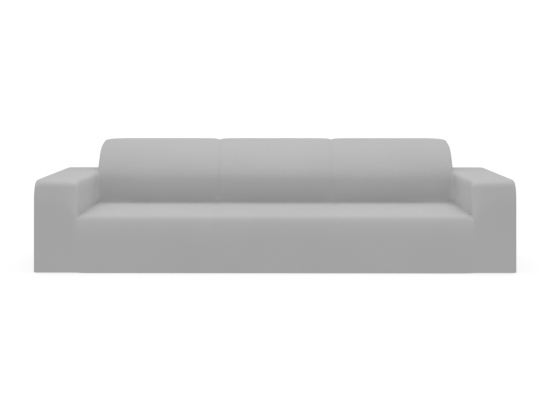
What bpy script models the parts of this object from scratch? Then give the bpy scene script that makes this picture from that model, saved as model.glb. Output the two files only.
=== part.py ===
"""One-piece stretch slipcover for a three-seat sofa with box arms and a rounded back.

Blender 4.5, metres, +Z up. X runs along the sofa and its front faces -Y. The cloth is one hollow
sheet, open at the hem. The origin is on the underside of the seat panel, at the middle of the
cover's plan, where the sofa inside carries it.
"""
import math

import bmesh
import bpy

# Overall sizes: lengths across, depths from the front panel, heights from the hem
LENGTH = 3.000
DEPTH = 1.000
SEAT_HEIGHT = 0.360
ARM_HEIGHT = 0.578
BACK_HEIGHT = 0.796
ARM_WIDTH = 0.272
SEAT_DEPTH = 0.655
CLOTH_THICKNESS = 0.002

# Seat front: a round nose whose foot runs out softly into the front panel
NOSE_REACH = 0.110
NOSE_FOOT_DROP = 0.055
NOSE_DROP = 0.145
NOSE_FOOT_SET = 0.013
NOSE_EDGE_SET = 0.032
NOSE_EDGE_DROP = 0.009
NOSE_TOP_SET = 0.066

# Back: a lower face that leans forward a little, then an ellipse up to the brow, where the
# crown arches over to the lower rear edge
BACK_FACE = 0.620
BACK_TUCK = 0.022
ARCH_START = 0.490
ARCH_REACH = 0.290
BROW_HEIGHT = 0.765
REAR_EDGE_HEIGHT = 0.700
BROW_PLACE = 0.780
CROWN_PLACE = 0.880
BACK_MIDDLE_HEIGHT = 0.675
BACK_HIGH_HEIGHT = 0.730
BACK_END_BAND = 0.105
BACK_END_TAPER = 0.005
BACK_CORNER_DROP = 0.022
BACK_CORNER_SET = 0.009

# Soft grooves between the three back cushions, sunk towards the middle of the back's section
GROOVE_PLACE = 0.394
GROOVE_HALF_WIDTH = 0.045
GROOVE_DEPTH = 0.013
BACK_CORE = (0.850, 0.550)

# Arms: the front's upper edge leans in, the front outer corner is rounder, the hem lifts a little
ARM_FRONT_LEAN = 0.006
ARM_CORNER_SET = 0.009
ARM_HEM_LIFT = 0.0035

# Distance from an edge to the cage line that holds it, which sets how round the edge is
CREASE_HOLD = 0.018
ARM_CREASE_HOLD = 0.036
ARM_EDGE_HOLD = 0.046
OUTER_EDGE_HOLD = 0.048
REAR_EDGE_HOLD = 0.050

SOFTENING = 1
CLOTH_COLOUR = (0.55, 0.55, 0.55, 1.0)
CLOTH_ROUGHNESS = 0.95

HALF_LENGTH = LENGTH / 2
ARM_INNER = HALF_LENGTH - ARM_WIDTH

# Cage lines across, from the middle to the outer side
COLUMNS = {
    "middle": 0.0,
    "groove inner": GROOVE_PLACE - GROOVE_HALF_WIDTH,
    "groove": GROOVE_PLACE,
    "groove outer": GROOVE_PLACE + GROOVE_HALF_WIDTH,
    "end": ARM_INNER - BACK_END_BAND,
    "end hold": ARM_INNER - CREASE_HOLD,
    "arm inner": ARM_INNER,
    "arm hold": ARM_INNER + ARM_EDGE_HOLD,
    "outer hold": HALF_LENGTH - OUTER_EDGE_HOLD,
    "outer": HALF_LENGTH,
}
# Cage lines from the front panel to the rear one
ROWS = {
    "front": 0.0,
    "front hold": ARM_EDGE_HOLD,
    "nose": NOSE_REACH,
    "face hold": SEAT_DEPTH - CREASE_HOLD,
    "face": SEAT_DEPTH,
    "brow": BROW_PLACE,
    "crown": CROWN_PLACE,
    "rear hold": DEPTH - REAR_EDGE_HOLD,
    "rear": DEPTH,
}
# Cage lines upward
LEVELS = {
    "hem": 0.0,
    "under nose": SEAT_HEIGHT - NOSE_DROP,
    "nose foot": SEAT_HEIGHT - NOSE_FOOT_DROP,
    "seat": SEAT_HEIGHT,
    "seat hold": SEAT_HEIGHT + CREASE_HOLD,
    "arm hold": ARM_HEIGHT - ARM_EDGE_HOLD,
    "arm top": ARM_HEIGHT,
    "back low": ARM_HEIGHT + ARM_CREASE_HOLD,
    "back middle": BACK_MIDDLE_HEIGHT,
    "back high": BACK_HIGH_HEIGHT,
    "back top": BROW_HEIGHT,
}
# The seat's front edge between the arms: the cage points that leave their own row and level
NOSE_SECTION = {
    ("front", "nose foot"): (NOSE_FOOT_SET, SEAT_HEIGHT - NOSE_FOOT_DROP),
    ("front", "seat"): (NOSE_EDGE_SET, SEAT_HEIGHT - NOSE_EDGE_DROP),
    ("front hold", "seat"): (NOSE_TOP_SET, SEAT_HEIGHT),
}


def index(lines, name):
    return list(lines).index(name)


def named(lines, number):
    """Name and place of a cage line, from its number on the counting grid."""
    return list(lines.items())[round(number)]


def cut_lines(bm, axis, count):
    """Cuts the block at each whole number along an axis."""
    normal = [0.0, 0.0, 0.0]
    normal[axis] = 1.0
    for step in range(1, count):
        point = [step * part for part in normal]
        everything = bm.verts[:] + bm.edges[:] + bm.faces[:]
        bmesh.ops.bisect_plane(bm, geom=everything, plane_co=point, plane_no=normal)


def raise_top(bm, first, last, picked):
    """Extrudes the picked top faces up, one level at a time."""
    for level in range(index(LEVELS, first), index(LEVELS, last)):
        top = [
            face for face in bm.faces
            if all(round(vert.co.z) == level for vert in face.verts)
            and picked(face.calc_center_median())
        ]
        grown = bmesh.ops.extrude_face_region(bm, geom=top)["geom"]
        bmesh.ops.delete(bm, geom=top, context="FACES")
        for vert in grown:
            if isinstance(vert, bmesh.types.BMVert):
                vert.co.z = level + 1


def counting_cage():
    """Half of the cover on a counting grid, where each cage line is a whole number."""
    counts = (len(COLUMNS) - 1, len(ROWS) - 1, index(LEVELS, "seat"))
    arm, face = index(COLUMNS, "arm inner"), index(ROWS, "face")
    bm = bmesh.new()
    bmesh.ops.create_cube(bm, size=1.0)
    for vert in bm.verts:
        vert.co = [(part + 0.5) * count for part, count in zip(vert.co, counts)]
    for axis, count in enumerate(counts):
        cut_lines(bm, axis, count)
    raise_top(bm, "seat", "arm top", lambda at: at.x > arm or at.y > face)
    raise_top(bm, "arm top", "back top", lambda at: at.x < arm and at.y > face)
    open_sides = [
        face for face in bm.faces
        if all(round(vert.co.x) == 0 for vert in face.verts)
        or all(round(vert.co.z) == 0 for vert in face.verts)
    ]
    bmesh.ops.delete(bm, geom=open_sides, context="FACES")
    return bm


def back_face(z):
    """Distance of the back's face from the front panel, at a height."""
    if z < ARCH_START:
        up = (z - SEAT_HEIGHT) / (ARCH_START - SEAT_HEIGHT)
        return BACK_FACE + BACK_TUCK * (1 - up) ** 2
    rise = (z - ARCH_START) / (BACK_HEIGHT - ARCH_START)
    return BACK_FACE + ARCH_REACH * (1 - math.sqrt(1 - rise * rise))


def sunk(y, z):
    """A point of the back's section, moved towards the section's core by the groove's depth."""
    to_core = (BACK_CORE[0] - y, BACK_CORE[1] - z)
    share = GROOVE_DEPTH / math.hypot(*to_core)
    return y + to_core[0] * share, z + to_core[1] * share


def back_point(column, row, level, x, y, z):
    """Shapes the block above the seat into the rounded back, with its grooves and ends."""
    deep = (y - SEAT_DEPTH) / (DEPTH - SEAT_DEPTH)
    up = max(0.0, (z - ARM_HEIGHT) / (BROW_HEIGHT - ARM_HEIGHT))
    face = back_face(z)
    y = face + (DEPTH - face) * deep
    z -= (BROW_HEIGHT - REAR_EDGE_HEIGHT) * up * deep
    z += (BACK_HEIGHT - (BROW_HEIGHT + REAR_EDGE_HEIGHT) / 2) * up * 4 * deep * (1 - deep)
    on_rear_panel = row == "rear" and level != "back top"
    if column == "groove" and not on_rear_panel and level != "seat hold":
        y, z = sunk(y, z)
    if column == "arm inner":
        x -= BACK_END_TAPER * up
        if level == "back top":
            x -= BACK_CORNER_SET
            z -= BACK_CORNER_DROP
    return x, y, z


def cage_point(spot):
    """Real place of one point of the counting grid."""
    column, x = named(COLUMNS, spot.x)
    row, y = named(ROWS, spot.y)
    level, z = named(LEVELS, spot.z)
    on_arm = x >= ARM_INNER
    if not on_arm:
        y, z = NOSE_SECTION.get((row, level), (y, z))
    if x <= ARM_INNER and y >= SEAT_DEPTH and z > SEAT_HEIGHT:
        return back_point(column, row, level, x, y, z)
    if on_arm and level == "hem":
        z += ARM_HEM_LIFT
    if on_arm and row == "front" and level == "arm hold":
        y += ARM_FRONT_LEAN
    if (column, row, level) == ("outer", "front", "arm top"):
        x, y, z = x - ARM_CORNER_SET, y + ARM_CORNER_SET, z - ARM_CORNER_SET
    return x, y, z


def build_cover():
    bm = counting_cage()
    for vert in bm.verts:
        vert.co = cage_point(vert.co)
    mesh = bpy.data.meshes.new("slipcover")
    bm.to_mesh(mesh)
    bm.free()
    mesh.shade_smooth()
    cover = bpy.data.objects.new("slipcover", mesh)
    cover.location = (0.0, -DEPTH / 2, CLOTH_THICKNESS - SEAT_HEIGHT)

    other_half = cover.modifiers.new("other half", "MIRROR")
    other_half.use_clip = True
    other_half.merge_threshold = 0.0001
    soften = cover.modifiers.new("soften", "SUBSURF")
    soften.levels = SOFTENING
    soften.render_levels = SOFTENING
    cloth = cover.modifiers.new("cloth", "SOLIDIFY")
    cloth.thickness = CLOTH_THICKNESS
    cloth.offset = -1.0
    return cover


def cloth_material():
    material = bpy.data.materials.new("grey stretch cloth")
    material.use_nodes = True
    shader = material.node_tree.nodes["Principled BSDF"]
    shader.inputs["Base Color"].default_value = CLOTH_COLOUR
    shader.inputs["Roughness"].default_value = CLOTH_ROUGHNESS
    shader.inputs["Metallic"].default_value = 0.0
    return material


def main():
    for old in list(bpy.data.objects):
        bpy.data.objects.remove(old, do_unlink=True)
    collection = bpy.data.collections.new("sofa slipcover")
    bpy.context.scene.collection.children.link(collection)
    cover = build_cover()
    cover.data.materials.append(cloth_material())
    collection.objects.link(cover)


main()
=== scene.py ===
# One-piece stretch slipcover, drawn over a three-seat sofa with box arms and a rounded back
import math
import bmesh
import bpy
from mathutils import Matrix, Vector


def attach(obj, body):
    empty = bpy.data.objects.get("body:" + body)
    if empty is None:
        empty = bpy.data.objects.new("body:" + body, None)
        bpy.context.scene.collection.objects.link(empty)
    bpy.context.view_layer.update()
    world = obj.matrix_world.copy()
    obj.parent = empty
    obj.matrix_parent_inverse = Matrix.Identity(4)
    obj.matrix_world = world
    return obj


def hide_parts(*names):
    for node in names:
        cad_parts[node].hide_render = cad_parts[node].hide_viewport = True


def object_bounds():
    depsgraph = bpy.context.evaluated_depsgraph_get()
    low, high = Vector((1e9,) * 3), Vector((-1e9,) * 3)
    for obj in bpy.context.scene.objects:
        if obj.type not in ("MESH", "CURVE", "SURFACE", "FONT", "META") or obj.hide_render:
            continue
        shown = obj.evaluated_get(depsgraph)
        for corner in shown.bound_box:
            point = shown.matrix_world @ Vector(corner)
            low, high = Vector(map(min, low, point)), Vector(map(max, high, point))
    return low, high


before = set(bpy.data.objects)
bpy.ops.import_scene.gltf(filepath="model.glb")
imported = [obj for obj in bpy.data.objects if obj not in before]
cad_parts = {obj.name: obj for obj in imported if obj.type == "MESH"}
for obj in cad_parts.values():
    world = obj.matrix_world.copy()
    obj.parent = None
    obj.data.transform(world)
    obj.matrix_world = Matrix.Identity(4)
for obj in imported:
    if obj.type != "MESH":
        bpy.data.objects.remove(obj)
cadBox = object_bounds()
frontPanel, hemLevel = cadBox[0][1:]
print("slipcover: the fixed frame is loaded")

shot = {
    "imageWide": 550,
    "focalPixels": 965.8,      # lens as pixels of an image 550 wide
    "distance": 5.953,         # from the front panel
    "height": 1.169,           # above the hem
    "turn": 0.3,               # degrees to the right
    "tilt": 3.6,               # degrees down
    "shiftX": 0.00036,
    "shiftY": -0.1098,
    "sensor": 36.0,
}


def placeCamera():
    data = bpy.data.cameras.new("studio camera")
    data.sensor_width = shot["sensor"]
    data.lens = shot["focalPixels"] / shot["imageWide"] * shot["sensor"]
    data.shift_x = shot["shiftX"]
    data.shift_y = shot["shiftY"]
    camera = bpy.data.objects.new("studio camera", data)
    turn = math.radians(shot["turn"])
    camera.location = (
        shot["distance"] * math.sin(turn),
        frontPanel - shot["distance"] * math.cos(turn),
        hemLevel + shot["height"],
    )
    camera.rotation_euler = (math.radians(90 - shot["tilt"]), 0, turn)
    bpy.context.scene.collection.objects.link(camera)
    bpy.context.scene.camera = camera


class Wire:  # an output socket, for sums written as Python
    def __init__(self, web, socket):
        self.web = web
        self.socket = socket

    def sum(self, operation, first, second):
        return self.web.node("ShaderNodeMath", {"operation": operation}, {0: first, 1: second})

    def __add__(self, other):
        return self.sum("ADD", self, other)

    def __radd__(self, other):
        return self.sum("ADD", other, self)

    def __sub__(self, other):
        return self.sum("SUBTRACT", self, other)

    def __rsub__(self, other):
        return self.sum("SUBTRACT", other, self)

    def __mul__(self, other):
        return self.sum("MULTIPLY", self, other)

    def __rmul__(self, other):
        return self.sum("MULTIPLY", other, self)

    def __gt__(self, other):
        return self.sum("GREATER_THAN", self, other)

    def __lt__(self, other):
        return self.sum("LESS_THAN", self, other)

    def __abs__(self):
        return self.sum("ABSOLUTE", self, 0.0)


class Web:  # a node tree
    def __init__(self, tree):
        self.tree = tree

    def join(self, value, socket):
        if isinstance(value, Wire):
            self.tree.links.new(value.socket, socket)
        else:
            socket.default_value = value

    def node(self, kind, settings=None, sockets=None, output=0):
        made = self.tree.nodes.new(kind)
        for name, value in (settings or {}).items():
            setattr(made, name, value)
        for name, value in (sockets or {}).items():
            self.join(value, made.inputs[name])
        return Wire(self, made.outputs[output])

    def cosine(self, angle):
        return self.node("ShaderNodeMath", {"operation": "COSINE"}, {0: angle})

    def parts(self, vector):
        made = self.node("ShaderNodeSeparateXYZ", None, {0: vector})
        return [Wire(self, socket) for socket in made.socket.node.outputs]

    def blend(self, share, first, second):  # 6, 7 and 2 are a Mix node's colour sockets
        settings = {"data_type": "RGBA"}
        return self.node("ShaderNodeMix", settings, {0: share, 6: first, 7: second}, 2)


cover = {
    "length": 3.000,
    "depth": 1.000,
    "seatHeight": 0.360,
    "armHeight": 0.578,
    "backHeight": 0.797,
    "armWidth": 0.272,
    "seatDepth": 0.655,
    "cloth": 0.002,
    "softening": 3,
    "noseReach": 0.110,        # the seat's round front
    "noseFootDrop": 0.055,
    "noseDrop": 0.145,
    "backFace": 0.620,         # the back's face, its tuck into the seat, its arch and crown
    "backTuck": 0.049,
    "tuckTop": 0.530,
    "tuckPower": 1.4,
    "archStart": 0.480,
    "archReach": 0.290,
    "archPower": 1.8,
    "browHeight": 0.765,
    "rearEdgeHeight": 0.700,
    "backEndBand": 0.105,
    "backEndTaper": 0.008,
    "groovePlace": 0.394,      # the dips between the back's cushions
    "grooveHalfWidth": 0.033,
    "grooveDepth": 0.007,
    "backCore": (0.850, 0.550),
    "creaseHold": 0.018,       # from an edge to the line that holds it
    "backCreaseHold": 0.032,
    "armCreaseHold": 0.036,
    "armEdgeHold": 0.046,
    "armSoftBand": 0.055,
    "armInnerBand": 0.110,
    "outerEdgeHold": 0.048,
    "rearEdgeHold": 0.050,
    "footCrease": 0.8,         # how tight the cloth is drawn in beside the arms and under the back
    "backFootCrease": 0.85,
    "hemDepth": 0.022,         # turned hem, of two layers
    "hemTurn": 0.004,
    "hemThickness": 0.004,
    "mirrorSeam": 0.0001,      # points this close to the middle are one
}
halfLength = cover["length"] / 2
armInner = halfLength - cover["armWidth"]

columns = {
    "middle": 0.0,
    "cushion": 0.18,
    "grooveInner": cover["groovePlace"] - cover["grooveHalfWidth"],
    "groove": cover["groovePlace"],
    "grooveOuter": cover["groovePlace"] + cover["grooveHalfWidth"],
    "sideCushion": 0.60,
    "sideMiddle": 0.78,
    "sideEnd": 0.95,
    "end": armInner - cover["backEndBand"],
    "endHold": armInner - cover["creaseHold"],
    "armInner": armInner,
    "armSoft": armInner + cover["armSoftBand"],
    "armHold": armInner + cover["armInnerBand"],
    "outerHold": halfLength - cover["outerEdgeHold"],
    "outer": halfLength,
}
rows = {
    "front": 0.0,
    "frontHold": cover["armEdgeHold"],
    "nose": cover["noseReach"],
    "seatFront": 0.24,
    "seatMiddle": 0.38,
    "seatRear": 0.51,
    "faceHold": cover["seatDepth"] - cover["creaseHold"],
    "face": cover["seatDepth"],
    "brow": 0.780,
    "crown": 0.880,
    "rearHold": cover["depth"] - cover["rearEdgeHold"],
    "rear": cover["depth"],
}
levels = {
    "hem": 0.0,
    "hemTop": cover["hemDepth"],
    "hemHold": cover["hemDepth"] + cover["hemTurn"],
    "underNose": cover["seatHeight"] - cover["noseDrop"],
    "noseFoot": cover["seatHeight"] - cover["noseFootDrop"],
    "seat": cover["seatHeight"],
    "seatHold": cover["seatHeight"] + cover["backCreaseHold"],
    "faceLow": 0.450,
    "armHold": cover["armHeight"] - cover["armEdgeHold"],
    "armTop": cover["armHeight"],
    "backLow": cover["armHeight"] + cover["armCreaseHold"],
    "backMiddle": 0.675,
    "backHigh": 0.730,
    "backTop": cover["browHeight"],
}
allLines = (columns, rows, levels)

# folds and soft edges: the points that leave their lines, and how far they go. A cell names a line,
# or a run of lines from its first to its last
folds = [
    ("columns", "rows", "levels", "across", "back", "up"),
    # the seat's round nose
    ("middle to armInner", "front", "noseFoot", 0, 0.013, 0),
    ("middle to armInner", "front", "seat", 0, 0.032, -0.009),
    ("middle to armInner", "frontHold", "seat", 0, 0.020, 0),
    # the tuck beside the arm, and its end at the nose
    ("armInner", "frontHold to seatRear", "seat to seatHold", 0.004, 0, 0),
    ("armInner", "frontHold to seatRear", "seatHold", 0, 0, -0.012),
    ("armInner", "front to faceHold", "seat", 0, 0, -0.007),
    ("endHold", "frontHold to seatRear", "seat", 0.002, 0, 0),
    ("armInner", "front", "noseFoot", 0, -0.003, 0),
    ("armInner", "front", "seat", 0, -0.013, 0),
    ("armSoft", "front", "noseFoot to seat", -0.040, 0, 0),
    # the tuck under the back
    ("middle to endHold", "faceHold", "seat", 0, 0, -0.001),
    ("middle to endHold", "face", "seat", 0, 0, 0.002),
    ("middle to sideEnd", "face", "seat", 0, 0.008, 0),
    # the corner of all three, and round beside the back
    ("armInner", "face", "seat", -0.013, -0.013, 0.013),
    ("armInner", "face", "seatHold", -0.013, -0.013, 0),
    ("armInner", "faceHold", "seatHold to armTop", 0, -0.040, 0),
    ("endHold", "face", "seatHold to armHold", -0.040, 0, 0),
    # the arm's inner top edge
    ("armInner", "frontHold to seatRear", "faceLow to armTop", 0.004, 0, 0),
    ("armInner", "frontHold to faceHold", "armHold", 0, 0, -0.029),
    ("armInner", "front to faceHold", "armTop", 0, 0, -0.006),
    ("armInner", "seatMiddle to faceHold", "armHold to armTop", -0.006, 0, -0.004),
    ("armSoft", "frontHold to seatRear", "armTop", 0, 0, -0.004),
    # the arm's inner front edge
    ("armInner", "front", "seatHold", -0.004, 0.018, 0),
    ("armInner", "front", "faceLow to armTop", -0.004, 0.024, 0),
    ("armInner", "frontHold", "faceLow to armTop", -0.006, 0.028, 0),
    ("armSoft", "front", "faceLow to armTop", 0, 0.006, 0),
    ("armSoft", "front", "seatHold", -0.020, 0.001, 0),
    # the arm's front top edge sags, and its outer corner is rounder
    ("armInner to outer", "front", "armHold", 0, 0.006, -0.022),
    ("armInner to outer", "front", "armTop", 0, 0, -0.007),
    ("armInner to armHold", "front", "armTop", 0, 0, -0.009),
    ("outer", "front", "armTop", -0.012, 0.011, -0.013),
    # the outer side is sharper behind the front
    ("outerHold", "frontHold to rear", "hem to backTop", 0.010, 0, 0),
    ("outer", "nose to rear", "armHold", 0, 0, 0.010),
    # the back's round shoulder
    ("endHold", "front to rear", "backTop", 0, 0, -0.010),
    ("armInner", "front to rear", "backTop", -0.009, 0, -0.030),
    # the hem lifts at the arms
    ("middle to outer", "front to rear", "hem to hemHold", 0, 0, -0.002),
    ("armInner to outer", "front to rear", "hem to hemHold", 0, 0, 0.0035),
]

# the nearly flat strips, by the line they start at, and how many steps stay across each
flatStrips = {
    "columns": {
        "middle": 4, "cushion": 4, "grooveOuter": 4, "sideCushion": 4, "sideMiddle": 4,
        "sideEnd": 4, "armHold": 4,
    },
    "rows": {"seatFront": 4, "seatMiddle": 4, "seatRear": 4},
    "levels": {
        "hemTop": 2, "hemHold": 2, "underNose": 4, "faceLow": 4, "armTop": 4, "backLow": 4,
        "backMiddle": 4,
    },
}


def numberOf(lines, name):
    return list(lines).index(name)


def lineAt(lines, number):  # a line's name and place
    return list(lines.items())[round(number)]


def isOn(lines, name, cell):
    ends = [numberOf(lines, end) for end in cell.split(" to ")]
    return ends[0] <= numberOf(lines, name) <= ends[-1]


def cutBlock(bm, axis, count):
    normal = Vector((0, 0, 0))
    normal[axis] = 1
    for step in range(1, count):
        everything = bm.verts[:] + bm.edges[:] + bm.faces[:]
        bmesh.ops.bisect_plane(bm, geom=everything, plane_co=normal * step, plane_no=normal)


def raiseTop(bm, first, last, picked):
    for level in range(numberOf(levels, first), numberOf(levels, last)):
        top = [
            face for face in bm.faces
            if all(round(vert.co.z) == level for vert in face.verts)
            and picked(face.calc_center_median())
        ]
        grown = bmesh.ops.extrude_face_region(bm, geom=top)["geom"]
        bmesh.ops.delete(bm, geom=top, context="FACES")
        for vert in grown:
            if isinstance(vert, bmesh.types.BMVert):
                vert.co.z = level + 1


def halfBlock():  # half of the cover, with each line of the tables at a whole number
    counts = (len(columns) - 1, len(rows) - 1, numberOf(levels, "seat"))
    arm, back = numberOf(columns, "armInner"), numberOf(rows, "face")
    bm = bmesh.new()
    bmesh.ops.create_cube(bm, size=1.0)
    for vert in bm.verts:
        vert.co = [(part + 0.5) * count for part, count in zip(vert.co, counts)]
    for axis, count in enumerate(counts):
        cutBlock(bm, axis, count)
    raiseTop(bm, "seat", "armTop", lambda at: at.x > arm or at.y > back)
    raiseTop(bm, "armTop", "backTop", lambda at: at.x < arm and at.y > back)
    openSides = [
        face for face in bm.faces
        if all(round(vert.co.x) == 0 for vert in face.verts)
        or all(round(vert.co.z) == 0 for vert in face.verts)
    ]
    bmesh.ops.delete(bm, geom=openSides, context="FACES")
    return bm


def drawIn(bm):  # tight creases where the cloth is tucked in round the seat
    crease = bm.edges.layers.float.new("crease_edge")
    arm, face = numberOf(columns, "armInner"), numberOf(rows, "face")
    foot, seat = numberOf(levels, "noseFoot"), numberOf(levels, "seat")
    for edge in bm.edges:
        spots = [[round(part) for part in vert.co] for vert in edge.verts]
        besideArm = all(x == arm and y <= face and z == seat for x, y, z in spots)
        atNose = all(x == arm and y == 0 and foot <= z <= seat for x, y, z in spots)
        underBack = all(x <= arm and y == face and z == seat for x, y, z in spots)
        if besideArm or atNose:
            edge[crease] = cover["footCrease"]
        elif underBack:
            edge[crease] = cover["backFootCrease"]


def backFaceAt(z):
    under = max(0.0, cover["tuckTop"] - z) / (cover["tuckTop"] - cover["seatHeight"])
    tuck = cover["backTuck"] * under ** cover["tuckPower"]
    rise = max(0.0, z - cover["archStart"]) / (cover["backHeight"] - cover["archStart"])
    power = cover["archPower"]
    arch = cover["archReach"] * (1 - (1 - rise ** power) ** (1 / power))
    return cover["backFace"] + tuck + arch


def sunk(y, z):
    toCore = (cover["backCore"][0] - y, cover["backCore"][1] - z)
    share = cover["grooveDepth"] / math.hypot(*toCore)
    return y + toCore[0] * share, z + toCore[1] * share


def backPoint(column, row, level, x, y, z):
    brow, rearEdge = cover["browHeight"], cover["rearEdgeHeight"]
    deep = (y - cover["seatDepth"]) / (cover["depth"] - cover["seatDepth"])
    up = max(0.0, (z - cover["armHeight"]) / (brow - cover["armHeight"]))
    face = backFaceAt(z)
    y = face + (cover["depth"] - face) * deep
    z -= (brow - rearEdge) * up * deep
    arch = 4 * deep * (1 - deep)  # 1 at the crown, and 0 at the face and the rear panel
    z += (cover["backHeight"] - (brow + rearEdge) / 2) * up * arch
    onRearPanel = row == "rear" and level != "backTop"
    if column == "groove" and not onRearPanel and level != "seatHold":
        y, z = sunk(y, z)
    if column == "armInner":
        x -= cover["backEndTaper"] * up
    return x, y, z


def coverPoint(spot):
    names, place = zip(*(lineAt(lines, number) for lines, number in zip(allLines, spot)))
    x, y, z = place
    if x <= armInner and y >= cover["seatDepth"] and z > cover["seatHeight"]:
        place = backPoint(*names, x, y, z)
    place = Vector(place)
    for row in folds[1:]:
        fold = dict(zip(folds[0], row))
        cells = fold["columns"], fold["rows"], fold["levels"]
        if all(map(isOn, allLines, names, cells)):
            place += Vector((fold["across"], fold["back"], fold["up"]))
    return place


def thinStrips(mesh):  # the same smooth form, with fewer faces across its flat strips
    bm = bmesh.new()
    bm.from_mesh(mesh)
    grid = bm.verts.layers.float_vector["grid"]
    fine = 2 ** cover["softening"]
    kept = [
        {numberOf(lines, name): steps for name, steps in strips.items()}
        for lines, strips in zip(allLines, flatStrips.values())
    ]
    spare = []
    for edge in bm.edges:
        ends = [[round(part * fine) for part in vert[grid]] for vert in edge.verts]
        for first, second, strips in zip(*ends, kept):
            if first == second and first % (fine // strips.get(first // fine, fine)):
                spare.append(edge)
    bmesh.ops.dissolve_edges(bm, edges=spare, use_verts=True)
    bm.verts.layers.float_vector.remove(grid)
    bm.to_mesh(mesh)
    bm.free()


def smoothForm():  # the whole cover as one fine open sheet, standing on its hem at z = 0
    bm = halfBlock()
    drawIn(bm)
    grid = bm.verts.layers.float_vector.new("grid")
    for vert in bm.verts:
        vert[grid] = vert.co
        vert.co = coverPoint(vert.co)
    mesh = bpy.data.meshes.new("coverBlock")
    bm.to_mesh(mesh)
    bm.free()
    block = bpy.data.objects.new("coverBlock", mesh)
    bpy.context.scene.collection.objects.link(block)
    mirror = block.modifiers.new("otherHalf", "MIRROR")
    mirror.use_clip = True
    mirror.merge_threshold = cover["mirrorSeam"]
    soften = block.modifiers.new("soften", "SUBSURF")
    soften.levels = cover["softening"]
    soften.render_levels = cover["softening"]
    depsgraph = bpy.context.evaluated_depsgraph_get()
    form = bpy.data.meshes.new_from_object(block.evaluated_get(depsgraph))
    bpy.data.objects.remove(block)
    thinStrips(form)
    return form


softForm = {
    "creaseDepth": 0.0045,     # tight crease down the middle of each groove of the back
    "creaseWidth": 0.010,
    "creaseFade": 0.05,
    "creaseFoot": 0.370,       # it starts above this height, and behind this depth
    "creaseFront": 0.570,
    "endRoll": 0.032,          # the back's ends roll away softly
    "endRollBand": 0.38,
    "endRollPast": 0.05,
    "endRollFront": 0.54,
    "endRollFade": 0.06,
    "endRollRise": 0.20,
    "endRollDepth": 0.30,
    "seatDip": 0.0035,         # the grooves run on faintly over the seat
    "seatDipWidth": 0.030,
    "seatDipPlace": 0.405,
    "seatDipFoot": 0.20,
    "seatDipRise": 0.10,
    "armRoll": 0.016,          # the arm's front leans in towards its upper edge
    "armRollBand": 0.120,
    "armRollDepth": 0.12,
    "hemSplay": 0.009,         # the arms' outer sides stand out a little at the hem
}


def ease(share):
    share = min(1.0, max(0.0, share))
    return share * share * (3 - 2 * share)


def bell(distance, width):
    return math.exp(-0.5 * (distance / width) ** 2)


def backCrease(x, y, z, normal):
    if y < softForm["creaseFront"]:
        return Vector((0, 0, 0))
    up = ease((z - softForm["creaseFoot"]) / softForm["creaseFade"])
    front = ease((cover["depth"] - y) / softForm["creaseFade"])
    tight = bell(abs(x) - cover["groovePlace"], softForm["creaseWidth"])
    return -normal * softForm["creaseDepth"] * tight * up * front


def backEnds(x, y, z, normal):
    away = 1 + (abs(x) - armInner) / softForm["endRollBand"]
    along = min(1.0, max(0.0, away)) ** 2 * (1 - ease((abs(x) - armInner) / softForm["endRollPast"]))
    up = ease((z - cover["seatHeight"]) / softForm["endRollRise"])
    front = ease((y - softForm["endRollFront"]) / softForm["endRollFade"])
    front *= ease((cover["depth"] - y) / softForm["endRollDepth"])
    return Vector((0, softForm["endRoll"] * along * up * front, 0))


def seatDip(x, y, z, normal):
    if y > cover["seatDepth"] - cover["backCreaseHold"]:
        return Vector((0, 0, 0))
    dip = bell(abs(x) - softForm["seatDipPlace"], softForm["seatDipWidth"])
    low = ease((z - softForm["seatDipFoot"]) / softForm["seatDipRise"])
    return -normal * softForm["seatDip"] * dip * low


def armFront(x, y, z, normal):
    if abs(x) < armInner - cover["creaseHold"]:
        return Vector((0, 0, 0))
    toTop = max(0.0, 1 + (z - cover["armHeight"]) / softForm["armRollBand"])
    deep = ease(1 - y / softForm["armRollDepth"])
    return Vector((0, softForm["armRoll"] * min(1.0, toTop) ** 2 * deep, 0))


def armSplay(x, y, z, normal):
    out = ease((abs(x) - armInner) / cover["armWidth"]) * max(0.0, 1 - z / cover["armHeight"])
    return Vector((math.copysign(softForm["hemSplay"] * out, x), 0, 0))


def settleCloth(mesh):
    normals = [vert.normal.copy() for vert in mesh.vertices]
    for vert, normal in zip(mesh.vertices, normals):
        spot = vert.co.copy()
        for soft in (backCrease, backEnds, seatDip, armFront, armSplay):
            vert.co += soft(*spot, normal)


def giveThickness(piece):  # full at the turned hem, and one layer above it
    top = cover["hemDepth"] + cover["hemTurn"]
    group = piece.vertex_groups.new(name="hem")
    hem = [vert.index for vert in piece.data.vertices if vert.co.z <= top]
    body = [vert.index for vert in piece.data.vertices if vert.co.z > top]
    group.add(hem, 1.0, "REPLACE")
    group.add(body, cover["cloth"] / cover["hemThickness"], "REPLACE")
    solid = piece.modifiers.new("cloth", "SOLIDIFY")
    solid.thickness = cover["hemThickness"]
    solid.offset = -1.0
    solid.vertex_group = group.name


knit = {
    "dark": (0.50, 0.50, 0.50, 1),
    "light": (0.60, 0.60, 0.60, 1),
    "roughness": 0.95,
    "roughnessChange": 0.06,
    "specular": 0.0,
    "walePitch": 0.0030,       # wales run up the cloth, each a chain of small stitches
    "coursePitch": 0.0024,
    "stitchSlant": 0.0010,
    "waleRelief": 0.35,
    "courseRelief": 0.15,
    "yarnRelief": 0.8,
    "turnAt": 0.72,            # how far a face turns before the wales follow it
    "fleck": {"Scale": 420.0, "Detail": 3.0, "Roughness": 0.7},
    "fleckShare": 0.9,
    "drift": {"Scale": 3.0, "Detail": 1.0},
    "driftShare": 0.25,
    "middle": 0.5,             # of each noise, and of the blend from dark to light
    # painted shade and light: the knit's hollows are darker and its ridges lighter in colour
    "paintedReliefShadeShare": 0.12,
    "bump": {"Strength": 0.5, "Distance": 0.0004},
}


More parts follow.
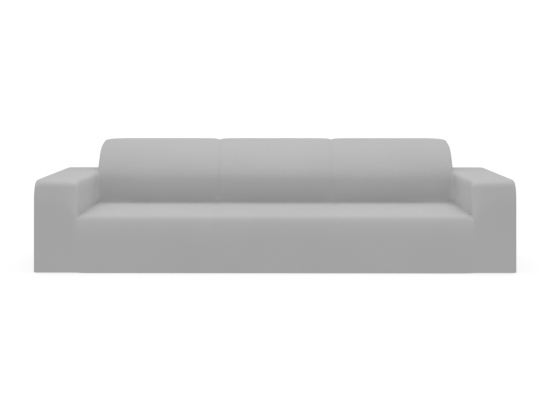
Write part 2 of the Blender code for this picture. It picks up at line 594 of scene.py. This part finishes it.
def knitCloth():
    material = bpy.data.materials.new("greyStretchKnit")
    material.use_nodes = True
    web = Web(material.node_tree)
    shader = material.node_tree.nodes["Principled BSDF"]
    shader.inputs["Specular IOR Level"].default_value = knit["specular"]

    place = web.node("ShaderNodeTexCoord", None, None, "Object")
    normal = web.node("ShaderNodeNewGeometry", None, None, "Normal")
    x, y, z = web.parts(place)
    sideways, forward, upward = web.parts(normal)
    onSide = abs(sideways) > knit["turnAt"]
    onTop = abs(upward) > knit["turnAt"]
    across = x + onSide * (y - x)
    along = z + onTop * (1 - onSide) * (y - z)

    ridge = web.cosine(across * (2 * math.pi / knit["walePitch"]))
    stitch = along + abs(ridge) * knit["stitchSlant"]
    loop = web.cosine(stitch * (2 * math.pi / knit["coursePitch"]))
    relief = ridge * knit["waleRelief"] + loop * knit["courseRelief"]

    # flecks of lighter and darker yarn, a faint unevenness of the stretched cloth, and painted shade
    # in the knit's hollows with painted light on its ridges
    noise = "ShaderNodeTexNoise"
    fleck = web.node(noise, None, {"Vector": place, **knit["fleck"]}) - knit["middle"]
    drift = web.node(noise, None, {"Vector": place, **knit["drift"]}) - knit["middle"]
    tone = fleck * knit["fleckShare"] + drift * knit["driftShare"] + relief * knit["paintedReliefShadeShare"]
    colour = web.blend(knit["middle"] + tone, knit["dark"], knit["light"])
    web.join(colour, shader.inputs["Base Color"])
    rough = knit["roughness"] + fleck * knit["roughnessChange"]
    web.join(rough, shader.inputs["Roughness"])
    height = relief + fleck * knit["yarnRelief"]
    bump = web.node("ShaderNodeBump", None, {"Height": height, **knit["bump"]})
    web.join(bump, shader.inputs["Normal"])
    return material


def makeCover():
    form = smoothForm()
    settleCloth(form)
    form.name = "slipcoverCloth"
    form.shade_smooth()
    piece = bpy.data.objects.new("slipcoverCloth", form)
    bpy.context.scene.collection.objects.link(piece)
    giveThickness(piece)
    lift = Vector((0, -cover["depth"] / 2, cover["cloth"] - cover["seatHeight"]))
    for vert in form.vertices:
        vert.co += lift
    form.materials.clear()
    form.materials.append(knitCloth())
    return piece


placeCamera()
print("slipcover: the camera stands in front")
slipcover = makeCover()
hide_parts("slipcover")
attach(slipcover, "root")
print("slipcover: the cloth is drawn over its form")

studio = {
    "floorSize": 60.0,
    "floorDrop": 0.004,        # below the hem
    "floorFinish": {
        "Base Color": (0.35, 0.35, 0.35, 1),
        "Roughness": 1.0,
        "Specular IOR Level": 0.0,
        "Emission Color": (1, 1, 1, 1),
        "Emission Strength": 0.7,
    },
    "roomColour": (1, 1, 1, 1),
    "roomLight": 0.573,
    "overhead": (0.942, 0),    # far lamps: strength, and tilt towards the viewer
    "front": (0.285, 45),
    "lampSpread": 60,
    "crossLight": 0.36,        # near lamps, each over one arm and shining across to the other
    "crossPlace": (1.1, -0.2, 0.8),
    "crossSize": (0.8, 0.6),
    "crossTilt": 16,
    "crossSpread": 30,
}


def layFloor():
    level = hemLevel - studio["floorDrop"]
    bpy.ops.mesh.primitive_plane_add(size=studio["floorSize"], location=(0, 0, level))
    floor = bpy.context.object
    floor.name = "paleFloor"
    floor.visible_diffuse = False  # the soft light from below stands for what it throws back
    floor.visible_shadow = False
    material = bpy.data.materials.new("paleFloor")
    material.use_nodes = True
    shader = material.node_tree.nodes["Principled BSDF"]
    for name, value in studio["floorFinish"].items():
        shader.inputs[name].default_value = value
    material.cycles.emission_sampling = "NONE"
    floor.data.materials.append(material)


def lightRoom():  # an even glow, and a white backdrop where the camera looks past the floor
    world = bpy.data.worlds.new("studio")
    bpy.context.scene.world = world
    world.use_nodes = True
    web = Web(world.node_tree)
    glow = world.node_tree.nodes["Background"]
    glow.inputs["Color"].default_value = studio["roomColour"]
    seen = web.node("ShaderNodeLightPath", None, None, "Is Camera Ray")
    web.join(studio["roomLight"] + seen * (1 - studio["roomLight"]), glow.inputs["Strength"])


def hangLamp(name, kind, energy, turn):
    lamp = bpy.data.lights.new(name, kind)
    lamp.energy = energy
    hung = bpy.data.objects.new(name, lamp)
    hung.rotation_euler = [math.radians(angle) for angle in turn]
    hung.visible_camera = False
    bpy.context.scene.collection.objects.link(hung)
    return hung


def hangLamps():
    for name in ("overhead", "front"):
        strength, tilt = studio[name]
        far = hangLamp(name, "SUN", strength, (tilt, 0, 0))
        far.data.angle = math.radians(studio["lampSpread"])
    for name, side in (("crossLeft", -1), ("crossRight", 1)):
        turn = side * (90 - studio["crossTilt"])
        near = hangLamp(name, "AREA", studio["crossLight"], (0, turn, 0))
        near.location = studio["crossPlace"]
        near.location.x *= side
        near.data.shape = "RECTANGLE"
        near.data.size_y, near.data.size = studio["crossSize"]
        near.data.spread = math.radians(studio["crossSpread"])


layFloor()
lightRoom()
hangLamps()
bpy.context.scene.view_settings.view_transform = "Standard"
print("slipcover: floor and lights are up")
